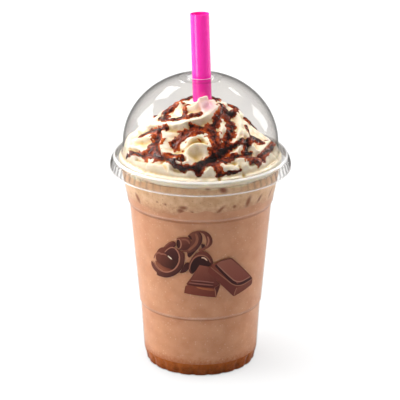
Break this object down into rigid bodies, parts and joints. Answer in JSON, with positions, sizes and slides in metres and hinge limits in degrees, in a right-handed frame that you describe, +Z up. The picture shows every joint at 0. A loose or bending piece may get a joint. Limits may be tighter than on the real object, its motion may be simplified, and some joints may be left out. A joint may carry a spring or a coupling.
{
  "type": "chocolate milkshake in a dome-lid cup",
  "caption": "Chocolate milkshake in a clear takeaway cup with a dome lid, whipped cream, chocolate sauce and a wide pink straw.",
  "frame": {"origin": "centre of the ring that the cup stands on, at the height of the table", "axes": "+Z up along the cup's axis; -Y towards the front, where the cup is printed; +X to the right seen from the front"},
  "size_m": [0.1024, 0.1024, 0.205],
  "materials": {
    "clear_cup": "clear moulded PET, glossy",
    "clear_lid": "clear moulded PET, glossy",
    "pink_straw": "extruded polypropylene, magenta pink, satin gloss",
    "settled_chocolate": "dark chocolate syrup that has sunk to the bottom of the drink",
    "shake": "smooth milk chocolate shake, opaque",
    "foam": "paler froth with small bubbles, opaque",
    "whipped_cream": "whipped cream, soft and off-white",
    "chocolate_sauce": "glossy chocolate sauce poured over the cream",
    "cup_print": "ink printed on the cup's front: chocolate curls and two chocolate squares, with no words"
  },
  "bodies": {
    "root": {"cup": "clear_cup", "dome_lid": "clear_lid", "straw": "pink_straw", "settled_chocolate": "settled_chocolate", "shake": "shake", "foam": "foam", "whipped_cream": "whipped_cream"}
  },
  "joints": []
}
